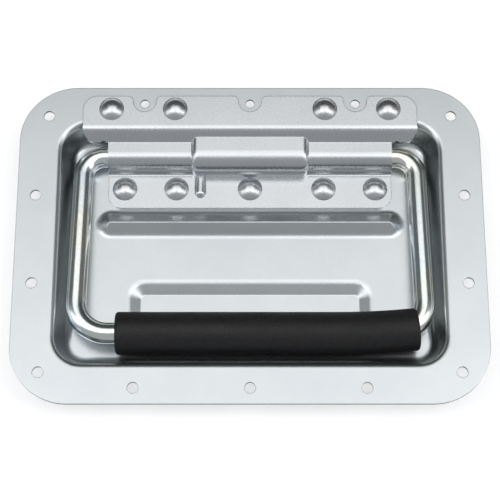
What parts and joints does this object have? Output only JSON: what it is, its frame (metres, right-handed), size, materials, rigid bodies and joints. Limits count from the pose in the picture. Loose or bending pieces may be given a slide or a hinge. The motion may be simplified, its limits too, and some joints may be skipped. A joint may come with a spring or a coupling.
{
  "type": "recessed pull handle",
  "caption": "Recessed pull handle: pressed steel dish, spring-loaded round-rod bail with a black sleeve grip, held by a riveted hinge bracket.",
  "frame": {"origin": "centre of the flange's outline on its back face, the mounting plane", "axes": "+Z out of the front, +X along the flange's long side to the right, +Y towards the hinge bracket"},
  "size_m": [0.178, 0.127, 0.0195],
  "materials": {
    "zinc_sheet": "bright zinc-plated pressed steel",
    "zinc_bracket": "bright zinc-plated pressed steel",
    "zinc_rod": "bright zinc plating with a faint blue and yellow tint",
    "rivet_steel": "bright plated steel",
    "spring_wire": "drawn spring wire",
    "grip_rubber": "matt black, finely grained"
  },
  "bodies": {
    "housing": {"dish": "zinc_sheet", "hinge_bracket": "zinc_bracket", "torsion_spring": "spring_wire", "upper_rivet_1": "rivet_steel", "upper_rivet_2": "rivet_steel", "upper_rivet_3": "rivet_steel", "upper_rivet_4": "rivet_steel", "lower_rivet_1": "rivet_steel", "lower_rivet_2": "rivet_steel", "lower_rivet_3": "rivet_steel", "lower_rivet_4": "rivet_steel", "lower_rivet_5": "rivet_steel"},
    "swing_bail": {"bail": "zinc_rod", "grip": "grip_rubber"}
  },
  "joints": [
    {"name": "bail_hinge", "type": "hinge", "parent": "housing", "child": "swing_bail", "pos_m": [0, 0.0375, -0.0072], "axis": [-1, 0, 0], "range_deg": [0, 90], "stiffness_Nm_per_rad": 0.15, "springref_deg": -34.38, "deforming": ["torsion_spring"]}
  ]
}
